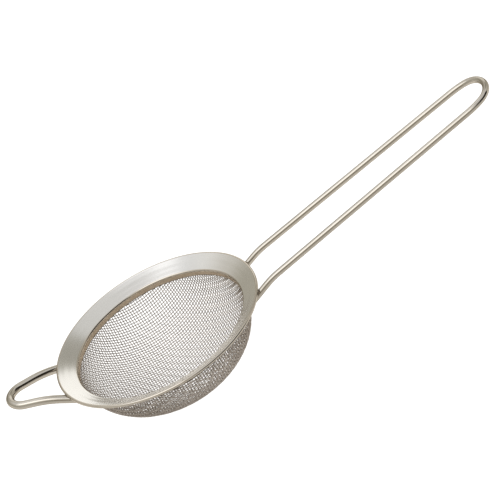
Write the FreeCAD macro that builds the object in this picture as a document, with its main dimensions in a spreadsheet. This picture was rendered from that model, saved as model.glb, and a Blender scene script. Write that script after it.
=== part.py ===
import FreeCAD, Part
import math
import os
import Sketcher

# Tea strainer: a pressed steel rim, a woven wire basket, a looped wire handle and a
# looped rest wire, both welded under the rim. +X runs along the handle, +Z is up and
# the origin is the centre of the rim's top plane. Lengths are in mm, angles in degrees.

V = FreeCAD.Vector
doc = FreeCAD.newDocument("TeaStrainer")

# ---------------------------------------------------------------- driving dimensions
DRIVING = {
    # pressed rim: rolled edge bead, sloping flange, fold, short upright neck
    "rim_radius": 40.0,
    "edge_bead_radius": 0.6,
    "sheet_thickness": 0.6,
    "flange_slope": 26.0,
    "neck_inner_radius": 32.9,
    "fold_radius": 0.8,
    "neck_depth": 5.6,
    # basket: a collar outside the neck, then a knuckle arc and a spherical cap
    "cloth_thickness": 0.6,
    "collar_top_depth": 3.9,
    "collar_break_angle": 7.0,
    "knuckle_radius": 20.0,
    "basket_depth": 28.0,
    # handle: one wire bent into a long narrow loop
    "handle_wire_diameter": 2.4,
    "handle_root_half_gap": 10.4,
    "handle_tip_half_gap": 8.95,
    "handle_kink_distance": 44.8,
    "handle_rise_angle": 12.75,
    "handle_nose_distance": 130.6,
    "handle_kink_radius": 27.0,
    "handle_nose_radius": 24.0,
    "handle_nose_turn": 14.0,
    "handle_corner_radius": 7.2,
    "handle_corner_turn": 50.0,
    # rest wire: a short rounded loop opposite the handle
    "rest_wire_diameter": 3.0,
    "rest_kink_distance": 44.7,
    "rest_kink_half_gap": 8.75,
    "rest_rise_angle": 8.5,
    "rest_reach": 57.9,
    "rest_tip_radius": 6.5,
    "rest_kink_radius": 36.0,
    # welds under the flange
    "weld_radius": 38.0,
    "weld_gap": 0.05,
    "wire_start_radius": 36.0,
    "weld_half_length": 2.4,
    "weld_half_width": 1.4,
    "weld_half_height": 0.85,
    "weld_drop": 0.5,
}

sheet = doc.addObject("Spreadsheet::Sheet", "Dimensions")
for row, (alias, value) in enumerate(DRIVING.items(), start=1):
    sheet.set("A%d" % row, alias)
    sheet.set("B%d" % row, str(value))
    sheet.setAlias("B%d" % row, alias)
doc.recompute()


def dim(alias):
    """The value of one driving dimension, read from the sheet."""
    return float(getattr(sheet, alias))


def place(obj):
    """Every sub-part is drawn about the shared origin."""
    obj.Placement = FreeCAD.Placement(V(0, 0, 0), FreeCAD.Rotation())


# ------------------------------------------------------------------- sketch helpers
def origin_plane(body, role):
    for feature in body.Origin.OriginFeatures:
        if feature.Role == role:
            return feature
    raise RuntimeError("no origin plane " + role)


def profile_sketch(body, name):
    """A sketch on the body's XZ plane: sketch x is the radius, sketch y is the height."""
    sketch = body.newObject("Sketcher::SketchObject", name)
    sketch.AttachmentSupport = (origin_plane(body, "XZ_Plane"), [""])
    sketch.MapMode = "FlatFace"
    return sketch


def add_line(sketch, start, end):
    return sketch.addGeometry(Part.LineSegment(V(*start, 0), V(*end, 0)), False)


def add_arc(sketch, centre, radius, start_angle, end_angle):
    """An arc run anticlockwise between two angles in degrees."""
    circle = Part.Circle(V(*centre, 0), V(0, 0, 1), radius)
    arc = Part.ArcOfCircle(circle, math.radians(start_angle), math.radians(end_angle))
    return sketch.addGeometry(arc, False)


def constrain(sketch, *items):
    return sketch.addConstraint(Sketcher.Constraint(*items))


def drive(sketch, items, expression):
    """Add a dimension and bind it to an expression of the sheet."""
    index = constrain(sketch, *items)
    sketch.setExpression("Constraints[%d]" % index, expression)


def revolve(body, sketch, name):
    feature = body.newObject("PartDesign::Revolution", name)
    feature.Profile = sketch
    feature.ReferenceAxis = (sketch, ["V_Axis"])
    feature.Angle = 360.0
    body.Tip = feature
    doc.recompute()
    return feature


START, END, CENTRE = 1, 2, 3
V_AXIS = -2


# ------------------------------------------------------------------------- the rim
def make_rim():
    """Pressed sheet: edge rolled under into a bead, sloping flange, fold and upright neck."""
    body = doc.addObject("PartDesign::Body", "rim_ring")
    body.Label = "rim_ring"
    sketch = profile_sketch(body, "rim_section")
    t = dim("sheet_thickness")
    slope = dim("flange_slope")
    along = V(math.cos(math.radians(slope)), math.sin(math.radians(slope)), 0)
    normal = V(-along.y, along.x, 0)
    bead = dim("edge_bead_radius")
    edge = V(dim("rim_radius") - bead, -bead, 0)
    neck_in = dim("neck_inner_radius")
    fold = dim("fold_radius")
    # the fold's centre lies one fold radius below the flange's top face and outside the neck
    top_start = edge + normal * bead
    reach = (top_start.x - (neck_in + fold) - normal.x * fold) / along.x
    fold_centre = top_start - along * reach - normal * fold
    neck_end = V(neck_in + t / 2, -dim("neck_depth") + t / 2, 0)
    top_fold = fold_centre + normal * fold
    under_fold = fold_centre + normal * (fold - t)

    # the flange's lower face runs into the bead's inner side
    under_end = edge + normal * (bead - t) - along * math.sqrt(bead ** 2 - (bead - t) ** 2)
    bead_start = math.degrees(math.atan2(under_end.y - edge.y, under_end.x - edge.x))

    rim_edge = add_arc(sketch, (edge.x, edge.y), bead, bead_start, slope + 90)
    top = add_line(sketch, (top_start.x, top_start.y), (top_fold.x, top_fold.y))
    fold_arc = add_arc(sketch, (fold_centre.x, fold_centre.y), fold, slope + 90, 180)
    inner = add_line(sketch, (neck_in, fold_centre.y), (neck_in, neck_end.y))
    neck_arc = add_arc(sketch, (neck_end.x, neck_end.y), t / 2, 180, 360)
    outer = add_line(sketch, (neck_in + t, neck_end.y), (neck_in + t, fold_centre.y))
    under_arc = add_arc(sketch, (fold_centre.x, fold_centre.y), fold - t, slope + 90, 180)
    under = add_line(sketch, (under_fold.x, under_fold.y), (under_end.x, under_end.y))

    for first, first_end, second, second_end in (
        (rim_edge, END, top, START),
        (top, END, fold_arc, START),
        (fold_arc, END, inner, START),
        (inner, END, neck_arc, START),
        (neck_arc, END, outer, START),
        (outer, END, under_arc, END),
        (under_arc, START, under, START),
    ):
        constrain(sketch, "Tangent", first, first_end, second, second_end)
    constrain(sketch, "Coincident", under, END, rim_edge, START)
    constrain(sketch, "Horizontal", fold_arc, CENTRE, under_arc, CENTRE)
    constrain(sketch, "Vertical", inner)
    constrain(sketch, "Parallel", top, under)
    half = "Dimensions.sheet_thickness / 2"
    drive(sketch, ("Radius", rim_edge, bead), "Dimensions.edge_bead_radius")
    drive(sketch, ("Radius", neck_arc, t / 2), half)
    drive(sketch, ("Radius", fold_arc, fold), "Dimensions.fold_radius")
    drive(sketch, ("Radius", under_arc, fold - t), "Dimensions.fold_radius - Dimensions.sheet_thickness")
    drive(sketch, ("DistanceX", -1, 1, rim_edge, CENTRE, edge.x),
          "Dimensions.rim_radius - Dimensions.edge_bead_radius")
    drive(sketch, ("DistanceY", rim_edge, CENTRE, -1, 1, bead), "Dimensions.edge_bead_radius")
    drive(sketch, ("DistanceX", -1, 1, inner, END, neck_in), "Dimensions.neck_inner_radius")
    drive(sketch, ("DistanceY", neck_arc, CENTRE, -1, 1, -neck_end.y), "Dimensions.neck_depth - " + half)
    drive(sketch, ("Angle", under, math.radians(slope)), "Dimensions.flange_slope * 1 deg")
    doc.recompute()
    revolve(body, sketch, "rim_turn")
    place(body)
    return body


# ---------------------------------------------------------------------- the basket
def make_basket():
    """The woven cloth as a closed shell: collar, knuckle and spherical cap."""
    body = doc.addObject("PartDesign::Body", "mesh_basket")
    body.Label = "mesh_basket"
    sketch = profile_sketch(body, "basket_section")
    t = dim("cloth_thickness")
    collar = dim("neck_inner_radius") + dim("sheet_thickness") + t
    top = -dim("collar_top_depth")
    break_z = -dim("neck_depth")
    angle = math.radians(dim("collar_break_angle"))
    knuckle = dim("knuckle_radius")
    knuckle_c = V(collar - knuckle * math.cos(angle), break_z + knuckle * math.sin(angle), 0)
    # the cap's sphere passes through the basket's lowest point and touches the knuckle arc
    lift = knuckle_c.y + dim("basket_depth")
    cap = (knuckle_c.x ** 2 + lift ** 2 - knuckle ** 2) / (2 * (lift - knuckle))
    cap_c = V(0, cap - dim("basket_depth"), 0)
    meet = math.degrees(math.atan2(knuckle_c.y - cap_c.y, knuckle_c.x - cap_c.x))
    inner_angle = math.degrees(math.acos((collar - t - knuckle_c.x) / (knuckle - t)))
    inner_break = knuckle_c.y - (knuckle - t) * math.sin(math.radians(inner_angle))

    outer_line = add_line(sketch, (collar, top), (collar, break_z))
    outer_arc = add_arc(sketch, (knuckle_c.x, knuckle_c.y), knuckle, meet, -math.degrees(angle))
    outer_cap = add_arc(sketch, (0, cap_c.y), cap, -90, meet)
    axis_line = add_line(sketch, (0, cap_c.y - cap), (0, cap_c.y - cap + t))
    inner_cap = add_arc(sketch, (0, cap_c.y), cap - t, -90, meet)
    inner_arc = add_arc(sketch, (knuckle_c.x, knuckle_c.y), knuckle - t, meet, -inner_angle)
    inner_line = add_line(sketch, (collar - t, inner_break), (collar - t, top))
    top_line = add_line(sketch, (collar - t, top), (collar, top))

    for first, first_end, second, second_end in (
        (outer_line, END, outer_arc, END),
        (outer_cap, START, axis_line, START),
        (axis_line, END, inner_cap, START),
        (inner_arc, END, inner_line, START),
        (inner_line, END, top_line, START),
        (top_line, END, outer_line, START),
    ):
        constrain(sketch, "Coincident", first, first_end, second, second_end)
    constrain(sketch, "Tangent", outer_arc, START, outer_cap, END)
    constrain(sketch, "Tangent", inner_cap, END, inner_arc, START)
    constrain(sketch, "Coincident", outer_arc, CENTRE, inner_arc, CENTRE)
    constrain(sketch, "Coincident", outer_cap, CENTRE, inner_cap, CENTRE)
    constrain(sketch, "Vertical", outer_line)
    constrain(sketch, "Vertical", inner_line)
    constrain(sketch, "Vertical", axis_line)
    constrain(sketch, "Horizontal", top_line)
    constrain(sketch, "PointOnObject", outer_cap, START, V_AXIS)
    constrain(sketch, "PointOnObject", outer_cap, CENTRE, V_AXIS)
    drive(sketch, ("DistanceX", -1, 1, outer_line, START, collar),
          "Dimensions.neck_inner_radius + Dimensions.sheet_thickness + Dimensions.cloth_thickness")
    drive(sketch, ("DistanceY", outer_line, START, -1, 1, -top), "Dimensions.collar_top_depth")
    drive(sketch, ("DistanceY", outer_line, END, -1, 1, -break_z), "Dimensions.neck_depth")
    drive(sketch, ("DistanceX", top_line, START, top_line, END, t), "Dimensions.cloth_thickness")
    drive(sketch, ("DistanceY", axis_line, START, axis_line, END, t), "Dimensions.cloth_thickness")
    drive(sketch, ("DistanceY", outer_cap, START, -1, 1, dim("basket_depth")), "Dimensions.basket_depth")
    drive(sketch, ("Radius", outer_arc, knuckle), "Dimensions.knuckle_radius")
    drive(sketch, ("DistanceX", -1, 1, outer_arc, CENTRE, knuckle_c.x),
          "Dimensions.neck_inner_radius + Dimensions.sheet_thickness + Dimensions.cloth_thickness"
          " - Dimensions.knuckle_radius * cos(Dimensions.collar_break_angle * 1 deg)")
    doc.recompute()
    revolve(body, sketch, "basket_turn")
    place(body)
    return body


# ----------------------------------------------------------------- the wires' routes
def flange_under_height(radius):
    """Height of the flange's lower face at a radius from the rim's axis."""
    bead = dim("edge_bead_radius")
    inset = bead - dim("sheet_thickness")
    slope = math.radians(dim("flange_slope"))
    edge_x = dim("rim_radius") - bead - inset * math.sin(slope)
    edge_z = -bead + inset * math.cos(slope)
    return edge_z - (edge_x - radius) * math.tan(slope)


def wire_drop(wire_radius):
    """Height from the flange's lower face down to a wire's axis, so that it clears the bead."""
    bead_depth = 2 * dim("edge_bead_radius") - dim("sheet_thickness")
    return (bead_depth + dim("weld_gap") + wire_radius) / math.cos(math.radians(dim("flange_slope")))


def leg_line(kink_x, kink_half_gap, spread, wire_radius):
    """One leg's straight root under the flange, in plan and in height.

    spread is how fast the half gap grows towards the rim's centre. The root runs parallel
    to the flange's lower face where the leg crosses the weld radius.
    """
    slope = math.radians(dim("flange_slope"))
    weld = dim("weld_radius")

    def half_gap(x):
        return kink_half_gap + spread * (kink_x - x)

    def x_at_radius(radius):
        x = radius
        for _ in range(40):
            x = math.sqrt(radius ** 2 - half_gap(x) ** 2)
        return x

    weld_x = x_at_radius(weld)
    weld_y = half_gap(weld_x)
    root_slope = math.tan(slope) * (weld_x - spread * weld_y) / weld
    weld_z = flange_under_height(weld) - wire_drop(wire_radius)

    def height(x):
        return weld_z + root_slope * (x - weld_x)

    start_x = x_at_radius(dim("wire_start_radius"))
    start = V(start_x, half_gap(start_x), height(start_x))
    kink = V(kink_x, kink_half_gap, height(kink_x))
    weld_point = V(weld_x, weld_y, weld_z)
    return start, kink, weld_point


def bend(before, corner, after, radius):
    """The tangent arc that rounds a corner of a route: its start, middle and end."""
    into = (corner - before).normalize()
    out = (after - corner).normalize()
    turn = into.getAngle(out)
    setback = radius * math.tan(turn / 2)
    first = corner - into * setback
    last = corner + out * setback
    inward = (out - into).normalize()
    centre = corner + inward * (radius / math.cos(turn / 2))
    middle = centre - inward * radius
    return first, middle, last


def turning_arcs(start, heading, arcs):
    """Chain of tangent arcs in a plane: (radius, turn) pairs, turning towards the axis.

    start is (along, half gap) and heading is the angle from the axis in degrees, both on
    the side of positive half gap. Gives (start, middle, end) for each arc.
    """
    chain = []
    point = V(start[0], start[1], 0)
    for radius, turn in arcs:
        centre = point + V(math.sin(math.radians(heading)), -math.cos(math.radians(heading)), 0) * radius
        middle = centre + V(-math.sin(math.radians(heading - turn / 2)),
                            math.cos(math.radians(heading - turn / 2)), 0) * radius
        last = centre + V(-math.sin(math.radians(heading - turn)),
                          math.cos(math.radians(heading - turn)), 0) * radius
        chain.append((point, middle, last))
        point = last
        heading -= turn
    return chain


def mirror_y(point):
    return V(point.x, -point.y, point.z)


def arc_edge(points):
    return Part.Arc(*points).toShape()


def line_edge(first, last):
    return Part.LineSegment(first, last).toShape()


def loop_wire(start, kink, rise, kink_radius, nose):
    """A route from one root round the nose to the other root, symmetric about Y = 0.

    nose gives the nose's arcs in the inclined plane that starts at the kink, as triples
    of (along, half gap) points; the last one ends on the axis.
    """
    along = V(math.cos(math.radians(rise)), 0, math.sin(math.radians(rise)))

    def lift(point):
        return V(kink.x, 0, kink.z) + along * point.x + V(0, point.y, 0)

    nose_space = [tuple(lift(p) for p in arc) for arc in nose]
    kink_arc = bend(start, kink, nose_space[0][0], kink_radius)
    half = [("line", (start, kink_arc[0])), ("arc", kink_arc), ("line", (kink_arc[2], nose_space[0][0]))]
    half += [("arc", arc) for arc in nose_space]
    other = [(kind, tuple(mirror_y(p) for p in reversed(points))) for kind, points in reversed(half)]
    edges = []
    for kind, points in half + other:
        edges.append(arc_edge(points) if kind == "arc" else line_edge(*points))
    return Part.Wire(edges)


def make_rod(name, route, diameter):
    """A round wire of constant section swept along a route."""
    first = route.Edges[0]
    begin = first.valueAt(first.FirstParameter)
    tangent = first.tangentAt(first.FirstParameter)
    section = Part.Wire([Part.Circle(begin, tangent, diameter / 2).toShape()])
    shape = route.makePipeShell([section], True, False)
    expected = math.pi * (diameter / 2) ** 2 * route.Length
    if abs(shape.Volume / expected - 1) > 0.01:
        raise RuntimeError(name + ": the swept volume is not its section times its length")
    rod = doc.addObject("Part::Feature", name)
    rod.Label = name
    rod.Shape = shape
    place(rod)
    return rod


def handle_route():
    kink_x = dim("handle_kink_distance")
    nose_x = dim("handle_nose_distance")
    root_gap = dim("handle_root_half_gap")
    tip_gap = dim("handle_tip_half_gap")
    spread = (root_gap - tip_gap) / (nose_x - kink_x)
    start, kink, weld = leg_line(kink_x, root_gap, spread, dim("handle_wire_diameter") / 2)
    rise = dim("handle_rise_angle")
    length = (nose_x - kink_x) / math.cos(math.radians(rise))
    heading = -math.degrees(math.atan((root_gap - tip_gap) / length))
    # the nose starts gently, turns tightly at its corners and is flatter across its end
    gentle = (dim("handle_nose_radius"), dim("handle_nose_turn"))
    corner = (dim("handle_corner_radius"), dim("handle_corner_turn"))
    chain = turning_arcs((length, tip_gap), heading, (gentle, corner))
    last = chain[-1][2]
    left = 90.0 + heading - gentle[1] - corner[1]
    end_radius = last.y / math.sin(math.radians(left))
    chain += turning_arcs((last.x, last.y), heading - gentle[1] - corner[1], ((end_radius, left),))
    print("handle: legs turn in by %.2f deg, end radius %.2f, tip at x %.2f z %.2f" % (
        -heading, end_radius, kink.x + chain[-1][2].x * math.cos(math.radians(rise)),
        kink.z + chain[-1][2].x * math.sin(math.radians(rise))))
    return loop_wire(start, kink, rise, dim("handle_kink_radius"), chain), weld, spread


def rest_route():
    kink_x = dim("rest_kink_distance")
    kink_gap = dim("rest_kink_half_gap")
    rise = dim("rest_rise_angle")
    radius = dim("rest_tip_radius")
    # the legs are tangent to the tip's circle, seen in the loop's own plane
    centre = (dim("rest_reach") - kink_x) / math.cos(math.radians(rise)) - radius
    reach = math.hypot(centre, kink_gap)
    lean = math.atan2(kink_gap, centre) - math.asin(radius / reach)
    spread = math.tan(lean) / math.cos(math.radians(rise))
    start, kink, weld = leg_line(kink_x, kink_gap, spread, dim("rest_wire_diameter") / 2)
    touch = (centre + radius * math.sin(lean), radius * math.cos(lean))
    heading = -math.degrees(lean)
    chain = turning_arcs(touch, heading, ((radius, 90.0 + heading),))
    print("rest: legs turn in by %.2f deg, tip at z %.2f" % (
        -heading, kink.z + chain[-1][2].x * math.sin(math.radians(rise))))
    return loop_wire(start, kink, rise, dim("rest_kink_radius"), chain), weld, spread


# ------------------------------------------------------------------------ the welds
def make_weld(name, point, spread, wire_radius, facing, side, rim, rod):
    """A weld bead between a wire and the flange: an ellipsoid less the rim and the wire.

    facing is 1 on the handle's side and -1 on the rest wire's; side is 1 at the left leg
    and -1 at the right leg, looking along +X.
    """
    slope = math.radians(dim("flange_slope"))
    lean = math.degrees(math.atan(spread))
    tilt = math.degrees(math.atan(math.tan(slope) * math.cos(math.atan2(point.y, point.x))))
    heading = -lean * side if facing > 0 else 180.0 + lean * side
    turn = FreeCAD.Rotation(V(0, 0, 1), heading) * FreeCAD.Rotation(V(0, 1, 0), -tilt)
    rise = wire_drop(wire_radius) - dim("weld_drop")
    centre = V(point.x * facing, point.y * side, point.z + rise)
    lump = doc.addObject("Part::Ellipsoid", name + "_lump")
    lump.setExpression("Radius1", "Dimensions.weld_half_height")
    lump.setExpression("Radius2", "Dimensions.weld_half_length")
    lump.setExpression("Radius3", "Dimensions.weld_half_width")
    lump.Placement = FreeCAD.Placement(centre, turn)
    below = doc.addObject("Part::Cut", name + "_under_rim")
    below.Base = lump
    below.Tool = rim
    bead = doc.addObject("Part::Cut", name)
    bead.Base = below
    bead.Tool = rod
    bead.Label = name
    doc.recompute()
    place(bead)
    return bead


# --------------------------------------------------------------------- the assembly
rim_ring = make_rim()
mesh_basket = make_basket()
handle_path, handle_weld_point, handle_spread = handle_route()
rest_path, rest_weld_point, rest_spread = rest_route()

about_face = FreeCAD.Rotation(V(0, 0, 1), 180)
rest_path.Placement = FreeCAD.Placement(V(0, 0, 0), about_face)
handle_wire = make_rod("handle_wire", handle_path, dim("handle_wire_diameter"))
rest_wire = make_rod("rest_wire", rest_path, dim("rest_wire_diameter"))

sub_parts = [rim_ring, mesh_basket, handle_wire, rest_wire]
for prefix, rod, point, spread, diameter, facing in (
    ("handle", handle_wire, handle_weld_point, handle_spread, "handle_wire_diameter", 1),
    ("rest", rest_wire, rest_weld_point, rest_spread, "rest_wire_diameter", -1),
):
    for side_name, side in (("left", 1), ("right", -1)):
        name = "%s_weld_%s" % (prefix, side_name)
        sub_parts.append(make_weld(name, point, spread, dim(diameter) / 2, facing, side, rim_ring, rod))
doc.recompute()

# ------------------------------------------------------------------ checks and files
for obj in doc.Objects:
    if "Invalid" in obj.State or "Error" in obj.State:
        raise RuntimeError("%s is %s" % (obj.Label, obj.State))

os.makedirs("parts", exist_ok=True)
for obj in sub_parts:
    shape = obj.Shape
    if shape.isNull() or not shape.isValid():
        raise RuntimeError(obj.Label + ": the shape is null or not valid")
    box = shape.BoundBox
    print("%-18s solids %d volume %8.2f  x %.2f..%.2f  y %.2f..%.2f  z %.2f..%.2f" % (
        obj.Label, len(shape.Solids), shape.Volume,
        box.XMin, box.XMax, box.YMin, box.YMax, box.ZMin, box.ZMax))
    shape.exportStep("parts/%s.step" % obj.Label)
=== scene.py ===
import math
import bpy
import numpy as np
from mathutils import Matrix, Vector


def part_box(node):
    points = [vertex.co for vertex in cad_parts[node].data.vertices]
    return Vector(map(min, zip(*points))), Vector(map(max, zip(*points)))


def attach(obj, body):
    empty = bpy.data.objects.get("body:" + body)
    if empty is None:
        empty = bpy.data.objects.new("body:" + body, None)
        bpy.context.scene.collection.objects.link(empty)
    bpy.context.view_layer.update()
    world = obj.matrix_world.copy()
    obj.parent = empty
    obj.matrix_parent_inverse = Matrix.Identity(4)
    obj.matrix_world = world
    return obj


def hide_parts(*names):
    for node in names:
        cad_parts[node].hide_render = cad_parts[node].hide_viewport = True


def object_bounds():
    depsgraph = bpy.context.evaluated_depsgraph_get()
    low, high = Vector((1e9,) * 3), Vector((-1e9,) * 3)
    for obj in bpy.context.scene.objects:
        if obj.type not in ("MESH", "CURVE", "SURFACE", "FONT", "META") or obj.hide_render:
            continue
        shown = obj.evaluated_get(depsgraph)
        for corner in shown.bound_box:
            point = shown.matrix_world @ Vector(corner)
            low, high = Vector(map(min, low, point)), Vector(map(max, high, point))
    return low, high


# Looks for the tea strainer: the woven cloth of the bowl as real warp and weft wires,
# materials for the pressed rim, the bent wires and the welds, and a plain pale studio.
# Everything is in metres, in the frame of the CAD model: +X along the handle, +Z up,
# the origin at the centre of the rim's top plane.

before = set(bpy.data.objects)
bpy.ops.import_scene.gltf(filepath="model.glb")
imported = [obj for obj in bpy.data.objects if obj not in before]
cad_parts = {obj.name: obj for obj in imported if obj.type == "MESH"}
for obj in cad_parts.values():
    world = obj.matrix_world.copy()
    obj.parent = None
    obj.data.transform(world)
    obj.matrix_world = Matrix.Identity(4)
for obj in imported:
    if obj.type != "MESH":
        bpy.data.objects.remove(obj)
cad_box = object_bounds()
scene = bpy.context.scene

# ------------------------------------------------------------------- the woven cloth
CLOTH_PITCH = 0.00105          # wire to wire, both ways
CLOTH_WIRE = 0.00030           # wire diameter; two make the cloth's thickness
CLOTH_TURN = math.radians(8)   # the weave's direction, measured from the handle
WIRE_SIDES = 6
STEPS_PER_PITCH = 4
SPARE_CROSSINGS = 4            # the net is made this much larger than the bowl needs
SOLVER_STEPS = 8
LONGEST_STEP = 0.4 * CLOTH_PITCH
TINY = 1e-9                    # keeps divisions and solves safe where a length is zero
FEWEST_POINTS = 3              # a path with fewer points below the edge makes no wire

# the cloth's middle surface: a spherical cap, a knuckle arc and an upright collar; the
# arc's centre in section is KNUCKLE_R, KNUCKLE_Z, and the angles are measured there
basket_low, basket_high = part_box("mesh_basket")
COLLAR_RADIUS = basket_high.x - CLOTH_WIRE
BREAK_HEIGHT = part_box("rim_ring")[0].z
BREAK_ANGLE = math.radians(7)
KNUCKLE_RADIUS = 0.0197
KNUCKLE_R = COLLAR_RADIUS + CLOTH_WIRE - (KNUCKLE_RADIUS + CLOTH_WIRE) * math.cos(BREAK_ANGLE)
KNUCKLE_Z = BREAK_HEIGHT + (KNUCKLE_RADIUS + CLOTH_WIRE) * math.sin(BREAK_ANGLE)
LIFT = KNUCKLE_Z - (basket_low.z + CLOTH_WIRE)
CAP_RADIUS = (KNUCKLE_R ** 2 + LIFT ** 2 - KNUCKLE_RADIUS ** 2) / (2 * (LIFT - KNUCKLE_RADIUS))
CAP_Z = basket_low.z + CLOTH_WIRE + CAP_RADIUS
MEET_ANGLE = math.atan2(KNUCKLE_Z - CAP_Z, KNUCKLE_R)
COLLAR_ANGLE = -math.acos((COLLAR_RADIUS - KNUCKLE_R) / KNUCKLE_RADIUS)
CAP_LENGTH = CAP_RADIUS * (math.pi / 2 + MEET_ANGLE)
KNUCKLE_LENGTH = KNUCKLE_RADIUS * (COLLAR_ANGLE - MEET_ANGLE)


def surface_offset(points):
    """How far each point is from the cloth's middle surface, and the surface's normal there."""
    radius = np.maximum(np.hypot(points[..., 0], points[..., 1]), TINY)
    height = points[..., 2]
    from_cap = np.hypot(radius, height - CAP_Z)
    from_knuckle = np.maximum(np.hypot(radius - KNUCKLE_R, height - KNUCKLE_Z), TINY)
    on_cap = np.arctan2(height - CAP_Z, radius) < MEET_ANGLE
    on_collar = height > BREAK_HEIGHT
    offset = np.where(on_cap, from_cap - CAP_RADIUS, from_knuckle - KNUCKLE_RADIUS)
    out = np.where(on_cap, radius / from_cap, (radius - KNUCKLE_R) / from_knuckle)
    up = np.where(on_cap, (height - CAP_Z) / from_cap, (height - KNUCKLE_Z) / from_knuckle)
    offset = np.where(on_collar, radius - COLLAR_RADIUS, offset)
    out = np.where(on_collar, 1.0, out)
    up = np.where(on_collar, 0.0, up)
    normal = np.stack([points[..., 0] / radius * out, points[..., 1] / radius * out, up], -1)
    return offset, normal


def meridian(length):
    """Radius and height at a distance from the bowl's lowest point along its surface."""
    cap_turn = length / CAP_RADIUS
    knuckle_turn = MEET_ANGLE + (length - CAP_LENGTH) / KNUCKLE_RADIUS
    collar_start = KNUCKLE_Z + KNUCKLE_RADIUS * math.sin(COLLAR_ANGLE)
    past = length - CAP_LENGTH - KNUCKLE_LENGTH
    radius = np.where(length < CAP_LENGTH, CAP_RADIUS * np.sin(cap_turn),
                      KNUCKLE_R + KNUCKLE_RADIUS * np.cos(knuckle_turn))
    height = np.where(length < CAP_LENGTH, CAP_Z - CAP_RADIUS * np.cos(cap_turn),
                      KNUCKLE_Z + KNUCKLE_RADIUS * np.sin(knuckle_turn))
    radius = np.where(past > 0, COLLAR_RADIUS, radius)
    height = np.where(past > 0, collar_start + past, height)
    return radius, height


def cloth_quadrant(count):
    """Crossings of the cloth in one quadrant of the bowl.

    Woven cloth shears but doesn't stretch, so each crossing is one pitch from the two
    before it. The two wires through the lowest point lie straight up the bowl.
    """
    grid = np.full((count, count, 3), np.nan)
    radius, height = meridian(np.arange(count) * CLOTH_PITCH)
    grid[:, 0] = np.stack([radius, 0 * radius, height], -1)
    grid[0, :] = np.stack([0 * radius, radius, height], -1)
    for diagonal in range(2, 2 * count - 1):
        row = np.arange(max(1, diagonal - count + 1), min(count, diagonal))
        column = diagonal - row
        first, second = grid[row - 1, column], grid[row, column - 1]
        point = first + second - grid[row - 1, column - 1]
        for _ in range(SOLVER_STEPS):
            offset, normal = surface_offset(point)
            error = np.stack([
                ((point - first) ** 2).sum(-1) - CLOTH_PITCH ** 2,
                ((point - second) ** 2).sum(-1) - CLOTH_PITCH ** 2,
                offset], -1)
            slope = np.stack([2 * (point - first), 2 * (point - second), normal], -2)
            slope += np.eye(3) * TINY
            step = np.linalg.solve(slope, error[..., None])[..., 0]
            size = np.linalg.norm(step, axis=-1, keepdims=True)
            point = point - step * np.minimum(1.0, LONGEST_STEP / np.maximum(size, TINY ** 2))
        grid[row, column] = point
    return grid


def whole_cloth():
    """The quadrant mirrored to the whole cloth and turned to the weave's direction."""
    reach = CAP_LENGTH + KNUCKLE_LENGTH + (basket_high.z - BREAK_HEIGHT)
    count = int(reach / CLOTH_PITCH) + SPARE_CROSSINGS
    # beyond the collar's corner crossings the net isn't needed and closes up
    quadrant = cloth_quadrant(count)
    middle = count - 1
    cloth = np.zeros((2 * count - 1, 2 * count - 1, 3))
    index = np.arange(count)
    for sign_x in (1, -1):
        for sign_y in (1, -1):
            cells = np.ix_(middle + sign_x * index, middle + sign_y * index)
            cloth[cells] = quadrant * np.array([sign_x, sign_y, 1.0])
    turn = np.array(Matrix.Rotation(CLOTH_TURN, 3, "Z"))
    return cloth @ turn.T


def twill_side(first, second):
    """Which side of the cloth a warp wire is on where it crosses a weft wire: 1 or -1.

    In the 2/2 twill each wire passes over two and under two, one step on from its neighbour.
    """
    return np.where((first + second) % 4 < 2, 1.0, -1.0)


def woven_path(crossings, sides):
    """One wire's centre line through its crossings, cut off at the cloth's top edge."""
    _, normals = surface_offset(crossings)
    padded = np.concatenate([2 * crossings[:1] - crossings[1:2], crossings,
                             2 * crossings[-1:] - crossings[-2:-1]])
    path = []
    for step in range(STEPS_PER_PITCH):
        t = step / STEPS_PER_PITCH
        a, b, c, d = padded[:-3], padded[1:-2], padded[2:-1], padded[3:]
        spline = 0.5 * (2 * b + (c - a) * t + (2 * a - 5 * b + 4 * c - d) * t ** 2
                        + (3 * b - a - 3 * c + d) * t ** 3)
        normal = normals[:-1] * (1 - t) + normals[1:] * t
        normal /= np.linalg.norm(normal, axis=-1, keepdims=True)
        swap = (1 - math.cos(math.pi * t)) / 2
        side = sides[:-1] * (1 - swap) + sides[1:] * swap
        path.append(spline + normal * (side * CLOTH_WIRE / 2)[:, None])
    path = np.stack(path, 1).reshape(-1, 3)
    below = np.flatnonzero(path[:, 2] < basket_high.z)
    if len(below) < FEWEST_POINTS:
        return None
    low, high = below[0], below[-1]
    ends = []
    for inner, outer in ((low, low - 1), (high, high + 1)):
        if 0 <= outer < len(path):
            rise = path[outer] - path[inner]
            ends.append(path[inner] + rise * (basket_high.z - path[inner][2]) / rise[2])
    if len(ends) < 2:
        return None
    return np.concatenate([ends[:1], path[low:high + 1], ends[1:]])


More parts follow.
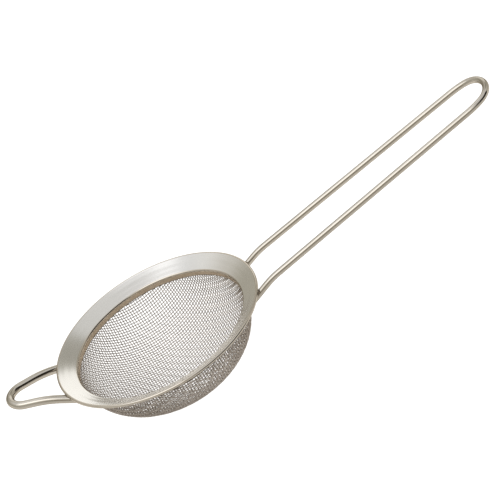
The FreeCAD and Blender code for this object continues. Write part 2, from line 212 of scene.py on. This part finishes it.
def tube_mesh(name, paths, radius, sides):
    """All the paths as round wires with closed ends, in one smooth mesh."""
    vertices, faces, total = [], [], 0
    angles = np.arange(sides) * 2 * math.pi / sides
    for path in paths:
        along = np.gradient(path, axis=0)
        along /= np.linalg.norm(along, axis=-1, keepdims=True)
        _, across = surface_offset(path)
        across = across - along * (across * along).sum(-1, keepdims=True)
        across /= np.linalg.norm(across, axis=-1, keepdims=True)
        third = np.cross(along, across)
        ring = (across[:, None] * np.cos(angles)[None, :, None]
                + third[:, None] * np.sin(angles)[None, :, None])
        vertices.append((path[:, None] + radius * ring).reshape(-1, 3))
        count = len(path)
        base = total + np.arange(count - 1)[:, None] * sides
        here = np.arange(sides)[None, :]
        after = (here + 1) % sides
        quads = np.stack([base + here, base + after,
                          base + sides + after, base + sides + here], -1)
        faces.extend(quads.reshape(-1, 4).tolist())
        faces.append(list(range(total + sides - 1, total - 1, -1)))
        faces.append(list(range(total + (count - 1) * sides, total + count * sides)))
        total += count * sides
    mesh = bpy.data.meshes.new(name)
    mesh.from_pydata(np.concatenate(vertices).tolist(), [], faces)
    mesh.validate()
    mesh.polygons.foreach_set("use_smooth", [True] * len(mesh.polygons))
    piece = bpy.data.objects.new(name, mesh)
    scene.collection.objects.link(piece)
    return piece


def make_cloth():
    """Warp and weft wires, each set in two halves so that no piece is too large."""
    cloth = whole_cloth()
    count = len(cloth)
    sets = {}
    along = np.arange(count)
    for index in range(count):
        half = "left" if index * 2 < count else "right"
        warp = woven_path(cloth[:, index], twill_side(along, index))
        weft = woven_path(cloth[index, :], -twill_side(index, along))
        for kind, path in (("warp", warp), ("weft", weft)):
            if path is not None:
                sets.setdefault("cloth_%s_%s" % (kind, half), []).append(path)
    return [tube_mesh(name, paths, CLOTH_WIRE / 2, WIRE_SIDES)
            for name, paths in sorted(sets.items())]


# --------------------------------------------------------------------------- the rim
RIM_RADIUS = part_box("rim_ring")[1].x
SHEET = 0.0006
BEAD_RADIUS = 0.0006
FLANGE_SLOPE = math.radians(26)
NECK_INNER = 0.0329
FOLD_RADIUS = 0.0008
RIM_SEGMENTS = 480
PRESSED, TURNED, NECK, PAINTED_SHADE = range(4)      # the rim's material slots; the last is near-black painted shade for the neck's shadowed outside
RING_WAVE_HEIGHT = 0.000010
RING_WAVE_PITCH = 0.00235
RING_WAVE_FADE = 0.0005       # the waves die out this near the flange's two edges
CROWN_WIDTH = 0.0019          # the flange's outer band, which is flatter than the rest
CROWN_HEIGHT = 0.00007
# points on each strip of the section
BEAD_POINTS = 28
FLANGE_POINTS = 90
FOLD_POINTS = 12
NECK_POINTS = 5
NECK_END_POINTS = 10
UNDER_FOLD_POINTS = 5
UNDER_POINTS = 16


def arc_points(centre, radius, first, last, count):
    """Points on an arc in the section, as (radius, height), without the last one."""
    turn = np.linspace(first, last, count, endpoint=False)
    return np.stack([centre[0] + radius * np.cos(turn), centre[1] + radius * np.sin(turn)], -1)


def rim_profile():
    """The rim's closed section, and the material slot of each of its edges.

    It runs over the bead, the flange with its shallow turned rings and the fold, down the
    neck's inside, up its outside and back under the flange.
    """
    along = np.array([math.cos(FLANGE_SLOPE), math.sin(FLANGE_SLOPE)])
    normal = np.array([-along[1], along[0]])
    edge = np.array([RIM_RADIUS - BEAD_RADIUS, -BEAD_RADIUS])
    top_start = edge + normal * BEAD_RADIUS
    reach = (top_start[0] - (NECK_INNER + FOLD_RADIUS) - normal[0] * FOLD_RADIUS) / along[0]
    fold = top_start - along * reach - normal * FOLD_RADIUS
    inset = BEAD_RADIUS - SHEET
    under_end = edge + normal * inset - along * math.sqrt(BEAD_RADIUS ** 2 - inset ** 2)
    bead_start = math.atan2(under_end[1] - edge[1], under_end[0] - edge[0])
    lean = FLANGE_SLOPE + math.pi / 2
    neck = (NECK_INNER + SHEET / 2, BREAK_HEIGHT + SHEET / 2)

    distance = np.linspace(0.0, reach, FLANGE_POINTS, endpoint=False)
    fade = np.clip(np.minimum(distance, reach - distance) / RING_WAVE_FADE, 0.0, 1.0)
    waves = RING_WAVE_HEIGHT * np.cos(2 * math.pi * distance / RING_WAVE_PITCH)
    crown_rise = 1 - (1 - np.minimum(distance / CROWN_WIDTH, 1)) ** 2
    past_crown = np.maximum(distance - CROWN_WIDTH, 0)
    crown_fall = (1 + np.cos(math.pi * past_crown / (reach - CROWN_WIDTH))) / 2
    height = CROWN_HEIGHT * crown_rise * crown_fall + waves * fade
    flange = top_start - along * distance[:, None] + normal * height[:, None]
    inner_heights = np.linspace(fold[1], neck[1], NECK_POINTS, endpoint=False)
    outer_heights = np.linspace(neck[1], fold[1], NECK_POINTS, endpoint=False)
    under_fold = fold + normal * (FOLD_RADIUS - SHEET)
    under_steps = np.linspace(0, 1, UNDER_POINTS, endpoint=False)
    strips = [
        (PRESSED, arc_points(edge, BEAD_RADIUS, bead_start, lean, BEAD_POINTS)),
        (TURNED, flange),
        (PRESSED, arc_points(fold, FOLD_RADIUS, lean, math.pi, FOLD_POINTS)),
        (NECK, [(NECK_INNER, height) for height in inner_heights]),
        # the neck's bottom, its outside and the fold's underside get near-black painted shade, for
        # the shadow behind the cloth's collar
        (PAINTED_SHADE, arc_points(neck, SHEET / 2, math.pi, 2 * math.pi, NECK_END_POINTS)),
        (PAINTED_SHADE, [(NECK_INNER + SHEET, height) for height in outer_heights]),
        (PAINTED_SHADE, arc_points(fold, FOLD_RADIUS - SHEET, math.pi, lean, UNDER_FOLD_POINTS)),
        (PRESSED, [under_fold + (under_end - under_fold) * step for step in under_steps])]
    slots = np.concatenate([np.full(len(points), slot) for slot, points in strips])
    return np.concatenate([points for _, points in strips]), slots


def lathe(name, profile, slots, segments):
    """A closed section turned round the Z axis; slots holds each edge's material slot."""
    count = len(profile)
    turn = np.arange(segments) * 2 * math.pi / segments
    vertices = np.stack([profile[:, 0] * np.cos(turn)[:, None],
                         profile[:, 0] * np.sin(turn)[:, None],
                         np.broadcast_to(profile[:, 1], (segments, count))], -1)
    here = np.arange(count)[None, :]
    after = (here + 1) % count
    base = np.arange(segments)[:, None] * count
    ahead = (base + count) % (segments * count)
    faces = np.stack([base + here, ahead + here, ahead + after, base + after], -1)
    mesh = bpy.data.meshes.new(name)
    mesh.from_pydata(vertices.reshape(-1, 3).tolist(), [], faces.reshape(-1, 4).tolist())
    mesh.validate()
    mesh.polygons.foreach_set("use_smooth", [True] * len(mesh.polygons))
    mesh.polygons.foreach_set("material_index", np.tile(slots, segments).astype(np.int32))
    piece = bpy.data.objects.new(name, mesh)
    scene.collection.objects.link(piece)
    return piece


# ------------------------------------------------------------------------- materials
NOISE_LOW = 0.3                # noise lies mostly between these two
NOISE_HIGH = 0.7


class NodeTree:
    """Helpers for building a tree of shader nodes."""

    def __init__(self, tree):
        self.tree = tree

    def add(self, kind, **settings):
        node = self.tree.nodes.new(kind)
        for key, value in settings.items():
            setattr(node, key, value)
        return node

    def link(self, output, socket):
        self.tree.links.new(output, socket)

    def math(self, operation, *values):
        node = self.add("ShaderNodeMath", operation=operation)
        for socket, value in zip(node.inputs, values):
            if isinstance(value, (int, float)):
                socket.default_value = value
            else:
                self.link(value, socket)
        return node.outputs[0]

    def ramp(self, factor, stops):
        """Colour along a factor, from (position, colour) pairs."""
        node = self.add("ShaderNodeValToRGB")
        elements = node.color_ramp.elements
        while len(elements) < len(stops):
            elements.new(0.5)
        for element, (position, colour) in zip(elements, stops):
            element.position = position
            element.color = (*colour, 1.0)
        self.link(factor, node.inputs["Fac"])
        return node.outputs["Color"]

    def span(self, value, low, high, start=0.0, end=1.0):
        """Maps a value that runs from start to end onto low to high."""
        node = self.add("ShaderNodeMapRange")
        node.inputs["From Min"].default_value = start
        node.inputs["From Max"].default_value = end
        node.inputs["To Min"].default_value = low
        node.inputs["To Max"].default_value = high
        self.link(value, node.inputs["Value"])
        return node.outputs["Result"]

    def camera_ray(self):
        return self.add("ShaderNodeLightPath").outputs["Is Camera Ray"]


class Surface(NodeTree):
    """A new material with one Principled shader."""

    def __init__(self, name):
        self.material = bpy.data.materials.new(name)
        self.material.use_nodes = True
        super().__init__(self.material.node_tree)
        self.shader = self.tree.nodes["Principled BSDF"]
        self.place = self.add("ShaderNodeTexCoord").outputs["Object"]

    def stretch(self, vector, scale):
        node = self.add("ShaderNodeVectorMath", operation="MULTIPLY")
        self.link(vector, node.inputs[0])
        node.inputs[1].default_value = scale
        return node.outputs[0]

    def noise(self, vector, scale=1.0, detail=3.0, roughness=0.5):
        node = self.add("ShaderNodeTexNoise")
        node.inputs["Scale"].default_value = scale
        node.inputs["Detail"].default_value = detail
        node.inputs["Roughness"].default_value = roughness
        self.link(vector, node.inputs["Vector"])
        return node.outputs["Fac"]

    def shades(self, factor, dark, light):
        """A colour that a noise moves between a darker and a lighter one."""
        return self.ramp(factor, [(NOISE_LOW, dark), (NOISE_HIGH, light)])

    def metal(self, colour, roughness):
        self.link(colour, self.shader.inputs["Base Color"])
        self.link(roughness, self.shader.inputs["Roughness"])
        self.shader.inputs["Metallic"].default_value = 1.0

    def edge_tint(self, red, green, blue):
        """The metal's own tint at glancing angles."""
        self.shader.inputs["Specular Tint"].default_value = (red, green, blue, 1.0)

    def bump(self, height, distance, strength):
        node = self.add("ShaderNodeBump")
        node.inputs["Strength"].default_value = strength
        node.inputs["Distance"].default_value = distance
        self.link(height, node.inputs["Height"])
        self.link(node.outputs["Normal"], self.shader.inputs["Normal"])

    def around_rim(self):
        """Coordinates that run round the Z axis: radius, angle and height."""
        split = self.add("ShaderNodeSeparateXYZ")
        self.link(self.place, split.inputs[0])
        x, y, z = split.outputs
        squares = self.math("ADD", self.math("MULTIPLY", x, x), self.math("MULTIPLY", y, y))
        join = self.add("ShaderNodeCombineXYZ")
        self.link(self.math("SQRT", squares), join.inputs[0])
        self.link(self.math("ARCTAN2", y, x), join.inputs[1])
        self.link(z, join.inputs[2])
        return join.outputs[0]


def turned_material():
    """The flange's satin steel, with fine turning marks that run round the rim.

    The marks stretch its highlights across themselves, which is out from the rim's axis.
    """
    surface = Surface("rim_turned_steel")
    marks = surface.stretch(surface.around_rim(), (9000.0, 5.0, 9000.0))
    lines = surface.noise(marks, detail=4.0, roughness=0.6)
    cloud = surface.noise(surface.place, 60.0)
    tone = surface.math("ADD", surface.math("MULTIPLY", lines, 0.3),
                        surface.math("MULTIPLY", cloud, 0.7))
    surface.metal(surface.shades(tone, (0.645, 0.637, 0.620), (0.715, 0.707, 0.690)),
                  surface.span(lines, 0.17, 0.25))
    surface.shader.inputs["Anisotropic"].default_value = 0.5
    surface.shader.inputs["Anisotropic Rotation"].default_value = 0.25
    tangent = surface.add("ShaderNodeTangent", direction_type="RADIAL", axis="Z")
    surface.link(tangent.outputs["Tangent"], surface.shader.inputs["Tangent"])
    surface.bump(lines, distance=0.00001, strength=0.12)
    return surface.material


def pressed_material():
    """The smooth drawn steel of the rim's bead and fold and of the flange's underside."""
    surface = Surface("rim_pressed_steel")
    cloud = surface.noise(surface.place, 120.0)
    surface.metal(surface.shades(cloud, (0.52, 0.48, 0.425), (0.60, 0.56, 0.505)),
                  surface.span(cloud, 0.08, 0.16))
    surface.edge_tint(0.45, 0.43, 0.40)
    return surface.material


def neck_material():
    """The neck's satin steel, a little browner than the flange."""
    surface = Surface("rim_neck_steel")
    cloud = surface.noise(surface.place, 200.0)
    surface.metal(surface.shades(cloud, (0.56, 0.47, 0.36), (0.64, 0.55, 0.44)),
                  surface.span(cloud, 0.30, 0.40))
    return surface.material


def painted_shade_material():
    """The neck's outside behind the cloth's collar, taken to be dark: near-black painted shade for
    the shadow under the flange and behind the cloth, not the steel's own colour.
    """
    surface = Surface("rim_painted_shade_steel")
    cloud = surface.noise(surface.place, 300.0)
    surface.metal(surface.shades(cloud, (0.015, 0.013, 0.011), (0.05, 0.044, 0.038)),
                  surface.span(cloud, 0.35, 0.55))
    return surface.material


def wire_material():
    """Polished wire with faint draw lines along the handle's direction."""
    surface = Surface("bent_wire_steel")
    lines = surface.noise(surface.stretch(surface.place, (60.0, 2600.0, 2600.0)))
    cloud = surface.noise(surface.place, 90.0, detail=2.0)
    surface.metal(surface.shades(cloud, (0.47, 0.44, 0.39), (0.54, 0.51, 0.46)),
                  surface.span(lines, 0.08, 0.18))
    surface.edge_tint(0.35, 0.33, 0.30)
    surface.bump(lines, distance=0.000006, strength=0.3)
    return surface.material


def cloth_material():
    """Bright drawn wire, a little uneven from wire to wire."""
    surface = Surface("cloth_wire_steel")
    cloud = surface.noise(surface.place, 700.0, detail=2.0)
    surface.metal(surface.shades(cloud, (0.41, 0.375, 0.345), (0.53, 0.49, 0.455)),
                  surface.span(cloud, 0.14, 0.26))
    surface.edge_tint(0.25, 0.23, 0.21)
    return surface.material


def weld_material():
    """Dull weld metal with a brown and blue-grey heat tint."""
    surface = Surface("weld_steel")
    cloud = surface.noise(surface.place, 900.0, detail=4.0, roughness=0.6)
    tint = surface.ramp(cloud, [(0.35, (0.10, 0.085, 0.08)),
                                (0.5, (0.33, 0.27, 0.21)),
                                (0.68, (0.50, 0.48, 0.46))])
    surface.metal(tint, surface.span(cloud, 0.55, 0.35))
    surface.bump(cloud, distance=0.00008, strength=0.7)
    return surface.material


def set_material(piece, material):
    piece.data.materials.clear()
    piece.data.materials.append(material)


# ----------------------------------------------------------------------- the object
cloth_steel = cloth_material()
for piece in make_cloth():
    set_material(piece, cloth_steel)
    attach(piece, "root")
    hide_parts("mesh_basket")

rim = lathe("rim_sheet", *rim_profile(), RIM_SEGMENTS)
for material in (pressed_material(), turned_material(), neck_material(), painted_shade_material()):
    rim.data.materials.append(material)
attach(rim, "root")
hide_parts("rim_ring")
wire_steel = wire_material()
for name in ("handle_wire", "rest_wire"):
    set_material(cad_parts[name], wire_steel)
weld_steel = weld_material()
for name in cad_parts:
    if "_weld_" in name:
        set_material(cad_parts[name], weld_steel)

# ------------------------------------------------------------------------ the studio
FLOOR_HEIGHT = cad_box[0][2]
FLOOR_HALF = 3.0
PAPER_GLOW = 0.95              # the floor's own light, as the camera sees it
TABLE_FRONT_Y = -0.07          # the table that the metal mirrors brightens from here
TABLE_BACK_Y = 0.03            # to here
TABLE_FRONT_GLOW = 0.44
TABLE_BACK_GLOW = 0.95
TABLE_COLOUR = (1.0, 0.94, 0.85)
WHITE = (1.0, 1.0, 1.0)

# the sky's colour at each elevation in degrees
SKY_BANDS = [
    (-90, (0.80, 0.78, 0.73)),
    (0, (0.62, 0.60, 0.54)),
    (22, (0.62, 0.59, 0.51)),
    (38, (0.80, 0.77, 0.71)),
    (50, (1.05, 1.04, 1.01)),
    (60, (1.00, 1.00, 1.00)),
    (78, (0.93, 0.92, 0.91)),
    (90, (0.80, 0.79, 0.77))]

# cards and flags round the strainer, each laid over those before it: azimuths,
# elevations and softness of the edge in degrees, and colour
SKY_CARDS = [
    ((18, 75), (52, 84), 8, (0.86, 0.85, 0.82)),
    ((84, 150), (64, 74), 3, (1.65, 1.65, 1.66)),
    ((38, 75), (31, 54), 4, (0.47, 0.45, 0.39)),
    ((95, 128), (-20, 27), 7, (0.50, 0.47, 0.39)),
    ((60, 96), (-14, 31), 2.5, (1.38, 1.35, 1.28)),
    ((-178, -92), (44, 76), 8, (2.20, 2.18, 2.15)),
    ((-118, -74), (-34, 20), 5, (0.34, 0.29, 0.22)),
    ((-74, 2), (-14, 48), 7, (0.03, 0.025, 0.02))]


def make_floor():
    """A paper floor that glows white to the camera, and to the metal is a dimmer table.

    The table is warm, and dimmest in front of the strainer.
    """
    mesh = bpy.data.meshes.new("floor")
    corners = [(-1, -1), (1, -1), (1, 1), (-1, 1)]
    vertices = [(x * FLOOR_HALF, y * FLOOR_HALF, FLOOR_HEIGHT) for x, y in corners]
    mesh.from_pydata(vertices, [], [(0, 1, 2, 3)])
    floor = bpy.data.objects.new("floor", mesh)
    scene.collection.objects.link(floor)
    surface = Surface("floor_paper")
    grain = surface.noise(surface.place, 400.0, detail=2.0)
    surface.link(surface.shades(grain, (0.30, 0.30, 0.30), (0.32, 0.32, 0.32)),
                 surface.shader.inputs["Base Color"])
    surface.shader.inputs["Roughness"].default_value = 0.9
    surface.shader.inputs["Specular IOR Level"].default_value = 0.1
    seen = surface.camera_ray()
    split = surface.add("ShaderNodeSeparateXYZ")
    surface.link(surface.place, split.inputs[0])
    table = surface.span(split.outputs["Y"], TABLE_FRONT_GLOW, TABLE_BACK_GLOW,
                         TABLE_FRONT_Y, TABLE_BACK_Y)
    glow = surface.math("MAXIMUM", surface.math("MULTIPLY", seen, PAPER_GLOW), table)
    surface.link(glow, surface.shader.inputs["Emission Strength"])
    surface.link(surface.ramp(seen, [(0.0, TABLE_COLOUR), (1.0, WHITE)]),
                 surface.shader.inputs["Emission Color"])
    set_material(floor, surface.material)


class Sky(NodeTree):
    """The studio that the metal mirrors: a ceiling of light with cards and flags round it."""

    def __init__(self):
        world = bpy.data.worlds.new("studio")
        world.use_nodes = True
        scene.world = world
        super().__init__(world.node_tree)
        place = self.add("ShaderNodeTexCoord")
        split = self.add("ShaderNodeSeparateXYZ")
        self.link(place.outputs["Generated"], split.inputs[0])
        x, y, z = split.outputs
        self.azimuth = self.math("DEGREES", self.math("ARCTAN2", y, x))
        self.elevation = self.math("DEGREES", self.math("ARCSINE", z))

    def step(self, value, edge, soft):
        """Rises smoothly from 0 to 1 across the edge."""
        node = self.add("ShaderNodeMapRange", interpolation_type="SMOOTHSTEP")
        node.inputs["From Min"].default_value = edge - soft
        node.inputs["From Max"].default_value = edge + soft
        self.link(value, node.inputs["Value"])
        return node.outputs["Result"]

    def gradient(self, bands):
        """Colour by elevation, from (degrees, colour) pairs."""
        factor = self.math("MULTIPLY_ADD", self.elevation, 1 / 180, 0.5)
        return self.ramp(factor, [((degrees + 90) / 180, colour) for degrees, colour in bands])

    def card(self, under, azimuths, elevations, soft, colour):
        """Lays a soft-edged card of one colour over what is already there."""
        inside = [self.math("SUBTRACT", self.step(value, low, soft), self.step(value, high, soft))
                  for value, (low, high) in ((self.azimuth, azimuths), (self.elevation, elevations))]
        return self.mix(self.math("MULTIPLY", *inside), under, colour)

    def mix(self, factor, under, over):
        node = self.add("ShaderNodeMix", data_type="RGBA")
        self.link(factor, node.inputs["Factor"])
        lower, upper = (socket for socket in node.inputs if socket.type == "RGBA")
        self.link(under, lower)
        upper.default_value = (*over, 1.0)
        return next(socket for socket in node.outputs if socket.type == "RGBA")

    def finish(self, colour):
        """Shows the camera plain white where it looks past the floor."""
        background = self.tree.nodes["Background"]
        self.link(self.mix(self.camera_ray(), colour, WHITE), background.inputs["Color"])
        background.inputs["Strength"].default_value = 1.0


def make_world():
    sky = Sky()
    light = sky.gradient(SKY_BANDS)
    for card in SKY_CARDS:
        light = sky.card(light, *card)
    sky.finish(light)


# ------------------------------------------------------------------------ the camera
CAMERA_ELEVATION = math.radians(30.5)
CAMERA_TURN = math.radians(1.5)       # the handle's swing towards the camera
CAMERA_ROLL = math.radians(29.55)
CAMERA_DISTANCE = 0.600
CAMERA_SIDESTEP = 0.03242             # the rim's centre is left of and below the view's centre
CAMERA_RISE = 0.02817
LENS_MM = 123.3
SENSOR_MM = 36.0
CLIP_NEAR = 0.01
CLIP_FAR = 20.0


def make_camera():
    right = Vector((math.cos(CAMERA_TURN), math.sin(CAMERA_TURN), 0))
    back = Vector((math.sin(CAMERA_TURN) * math.cos(CAMERA_ELEVATION),
                   -math.cos(CAMERA_TURN) * math.cos(CAMERA_ELEVATION),
                   math.sin(CAMERA_ELEVATION)))
    up = back.cross(right)
    view_right = right * math.cos(CAMERA_ROLL) - up * math.sin(CAMERA_ROLL)
    view_up = right * math.sin(CAMERA_ROLL) + up * math.cos(CAMERA_ROLL)
    data = bpy.data.cameras.new("camera")
    data.lens = LENS_MM
    data.sensor_width = SENSOR_MM
    data.clip_start = CLIP_NEAR
    data.clip_end = CLIP_FAR
    camera = bpy.data.objects.new("camera", data)
    matrix = Matrix((view_right, view_up, back)).transposed().to_4x4()
    matrix.translation = (back * CAMERA_DISTANCE + view_right * CAMERA_SIDESTEP
                          + view_up * CAMERA_RISE)
    camera.matrix_world = matrix
    scene.collection.objects.link(camera)
    scene.camera = camera


make_floor()
make_world()
make_camera()
scene.view_settings.view_transform = "Standard"
